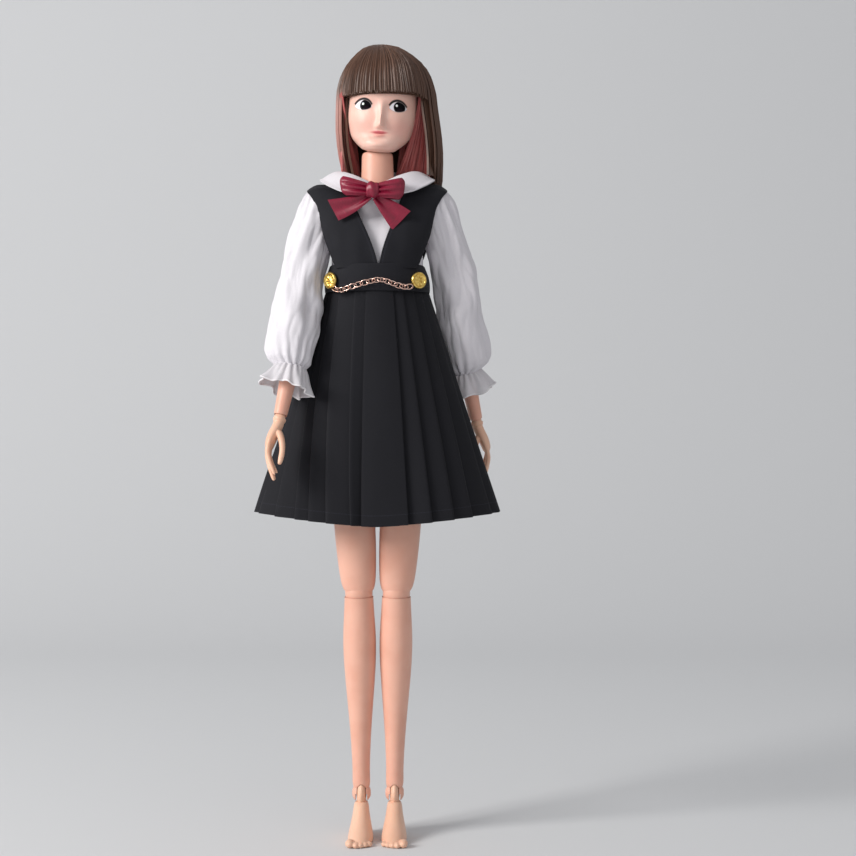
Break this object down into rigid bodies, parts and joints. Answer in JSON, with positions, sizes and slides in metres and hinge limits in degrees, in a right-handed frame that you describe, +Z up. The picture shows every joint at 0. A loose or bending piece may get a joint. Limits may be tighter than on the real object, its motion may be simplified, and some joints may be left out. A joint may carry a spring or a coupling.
{
  "type": "fashion doll",
  "caption": "Slim jointed fashion doll with bobbed hair, in a puff-sleeved blouse with a satin bow and a dark pleated pinafore dress with a chain.",
  "frame": {"origin": "on the ground, below the middle of the whole doll's footprint", "axes": "+Z up from the soles to the crown; the doll faces -Y; its left hand is towards +X"},
  "size_m": [0.0804, 0.0504, 0.2702],
  "materials": {
    "body_plastic": "satin peach plastic",
    "joint_plastic": "satin peach plastic",
    "face_vinyl": "satin vinyl, painted eyes and lips",
    "brown_hair": "satin straight fibre",
    "pink_hair": "satin straight fibre",
    "white_cotton": "matte thin plain weave",
    "navy_cloth": "matte fine twill, pressed pleats",
    "crimson_satin": "satin ribbon",
    "gold_metal": "polished gold plate",
    "rose_metal": "polished rose gold plate"
  },
  "bodies": {
    "pelvis": {"pelvis": "body_plastic", "skirt": "navy_cloth"},
    "waist_link": {"waist_link": "joint_plastic"},
    "chest": {"chest": "body_plastic", "blouse_body": "white_cotton", "collar_right": "white_cotton", "collar_left": "white_cotton", "dress_bodice": "navy_cloth", "waistband": "navy_cloth", "button_right": "gold_metal", "button_left": "gold_metal", "chain": "rose_metal", "bow_knot": "crimson_satin", "bow_loop_right": "crimson_satin", "bow_tail_right": "crimson_satin", "bow_loop_left": "crimson_satin", "bow_tail_left": "crimson_satin"},
    "neck": {"neck": "body_plastic"},
    "head": {"head": "face_vinyl", "hair_fringe": "brown_hair", "hair_inner_right": "pink_hair", "hair_inner_left": "pink_hair", "hair_outer": "brown_hair"},
    "shoulder_right": {"shoulder_link_right": "joint_plastic"},
    "upper_arm_right": {"upper_arm_right": "body_plastic", "elbow_pin_right": "joint_plastic", "sleeve_upper_right": "white_cotton"},
    "forearm_right": {"forearm_right": "body_plastic", "sleeve_lower_right": "white_cotton", "cuff_right": "white_cotton"},
    "wrist_right": {"wrist_link_right": "joint_plastic"},
    "hand_right": {"hand_right": "body_plastic"},
    "shoulder_left": {"shoulder_link_left": "joint_plastic"},
    "upper_arm_left": {"upper_arm_left": "body_plastic", "elbow_pin_left": "joint_plastic", "sleeve_upper_left": "white_cotton"},
    "forearm_left": {"forearm_left": "body_plastic", "sleeve_lower_left": "white_cotton", "cuff_left": "white_cotton"},
    "wrist_left": {"wrist_link_left": "joint_plastic"},
    "hand_left": {"hand_left": "body_plastic"},
    "hip_right": {"hip_joint_right": "joint_plastic"},
    "thigh_right": {"thigh_right": "body_plastic", "knee_pin_right": "joint_plastic"},
    "shin_right": {"shin_right": "body_plastic", "ankle_pin_right": "joint_plastic"},
    "foot_right": {"foot_right": "body_plastic"},
    "hip_left": {"hip_joint_left": "joint_plastic"},
    "thigh_left": {"thigh_left": "body_plastic", "knee_pin_left": "joint_plastic"},
    "shin_left": {"shin_left": "body_plastic", "ankle_pin_left": "joint_plastic"},
    "foot_left": {"foot_left": "body_plastic"}
  },
  "joints": [
    {"name": "torso_lean", "type": "hinge", "parent": "pelvis", "child": "waist_link", "pos_m": [-0.00103, 0.00449, 0.164], "axis": [1, 0, 0], "range_deg": [-8, 8], "deforming": ["skirt"]},
    {"name": "torso_turn", "type": "hinge", "parent": "waist_link", "child": "chest", "pos_m": [-0.00103, 0.00449, 0.164], "axis": [0, 0, 1], "range_deg": [-15, 15], "deforming": ["skirt"]},
    {"name": "head_turn", "type": "hinge", "parent": "chest", "child": "neck", "pos_m": [-0.00103, 0.00449, 0.22], "axis": [0, 0, 1], "range_deg": [-80, 80], "deforming": ["hair_outer"]},
    {"name": "head_nod", "type": "hinge", "parent": "neck", "child": "head", "pos_m": [-0.00103, 0.00449, 0.235], "axis": [0.9916, -0.1218, -0.0436], "range_deg": [-15, 15], "deforming": ["hair_outer"]},
    {"name": "arm_swing_right", "type": "hinge", "parent": "chest", "child": "shoulder_right", "pos_m": [-0.01953, 0.00449, 0.2145], "axis": [-1, 0, 0], "range_deg": [-64, 151], "deforming": ["sleeve_upper_right", "sleeve_lower_right", "dress_bodice", "skirt"]},
    {"name": "arm_raise_right", "type": "hinge", "parent": "shoulder_right", "child": "upper_arm_right", "pos_m": [-0.01953, 0.00449, 0.2145], "axis": [0, 0.9703, -0.2419], "range_deg": [-4, 75], "deforming": ["sleeve_upper_right", "sleeve_lower_right"]},
    {"name": "elbow_bend_right", "type": "hinge", "parent": "upper_arm_right", "child": "forearm_right", "pos_m": [-0.02613, -0.00456, 0.17819], "axis": [-0.9848, 0.042, 0.1685], "range_deg": [-4, 86], "deforming": ["sleeve_upper_right", "sleeve_lower_right"]},
    {"name": "wrist_turn_right", "type": "hinge", "parent": "forearm_right", "child": "wrist_right", "pos_m": [-0.03262, -0.01601, 0.14308], "axis": [0.1732, 0.3054, 0.9364], "range_deg": [-90, 90]},
    {"name": "wrist_bend_right", "type": "hinge", "parent": "wrist_right", "child": "hand_right", "pos_m": [-0.03262, -0.01601, 0.14308], "axis": [0.0121, -0.9513, 0.308], "range_deg": [-30, 35]},
    {"name": "arm_swing_left", "type": "hinge", "parent": "chest", "child": "shoulder_left", "pos_m": [0.01747, 0.00449, 0.2145], "axis": [-1, 0, 0], "range_deg": [-39, 176], "deforming": ["sleeve_upper_left", "sleeve_lower_left", "dress_bodice", "skirt", "hair_outer"]},
    {"name": "arm_raise_left", "type": "hinge", "parent": "shoulder_left", "child": "upper_arm_left", "pos_m": [0.01747, 0.00449, 0.2145], "axis": [0, -0.9816, -0.1908], "range_deg": [-6, 73], "deforming": ["sleeve_upper_left", "sleeve_lower_left"]},
    {"name": "elbow_bend_left", "type": "hinge", "parent": "upper_arm_left", "child": "forearm_left", "pos_m": [0.02537, 0.01158, 0.17801], "axis": [-0.9781, 0.0397, -0.2041], "range_deg": [0, 90], "deforming": ["sleeve_upper_left", "sleeve_lower_left"]},
    {"name": "wrist_turn_left", "type": "hinge", "parent": "forearm_left", "child": "wrist_left", "pos_m": [0.03317, 0.01858, 0.14201], "axis": [-0.2079, -0.1866, 0.9602], "range_deg": [-90, 90]},
    {"name": "wrist_bend_left", "type": "hinge", "parent": "wrist_left", "child": "hand_left", "pos_m": [0.03317, 0.01858, 0.14201], "axis": [0, 0.9816, 0.1908], "range_deg": [-30, 35]},
    {"name": "hip_flex_right", "type": "hinge", "parent": "pelvis", "child": "hip_right", "pos_m": [-0.01003, 0.00449, 0.128], "axis": [-1, 0, 0], "range_deg": [-20, 90], "deforming": ["skirt"]},
    {"name": "hip_spread_right", "type": "hinge", "parent": "hip_right", "child": "thigh_right", "pos_m": [-0.01003, 0.00449, 0.128], "axis": [0, 1, 0], "range_deg": [0, 28]},
    {"name": "knee_bend_right", "type": "hinge", "parent": "thigh_right", "child": "shin_right", "pos_m": [-0.00743, 0.00649, 0.084], "axis": [1, 0, 0], "range_deg": [0, 90]},
    {"name": "ankle_bend_right", "type": "hinge", "parent": "shin_right", "child": "foot_right", "pos_m": [-0.00673, 0.01149, 0.0146], "axis": [-1, 0, 0], "range_deg": [-40, 20]},
    {"name": "hip_flex_left", "type": "hinge", "parent": "pelvis", "child": "hip_left", "pos_m": [0.00797, 0.00449, 0.128], "axis": [-1, 0, 0], "range_deg": [-20, 90], "deforming": ["skirt"]},
    {"name": "hip_spread_left", "type": "hinge", "parent": "hip_left", "child": "thigh_left", "pos_m": [0.00797, 0.00449, 0.128], "axis": [0, -1, 0], "range_deg": [0, 28]},
    {"name": "knee_bend_left", "type": "hinge", "parent": "thigh_left", "child": "shin_left", "pos_m": [0.00537, 0.00649, 0.084], "axis": [1, 0, 0], "range_deg": [0, 90]},
    {"name": "ankle_bend_left", "type": "hinge", "parent": "shin_left", "child": "foot_left", "pos_m": [0.00467, 0.01149, 0.0146], "axis": [-1, 0, 0], "range_deg": [-40, 20]}
  ]
}
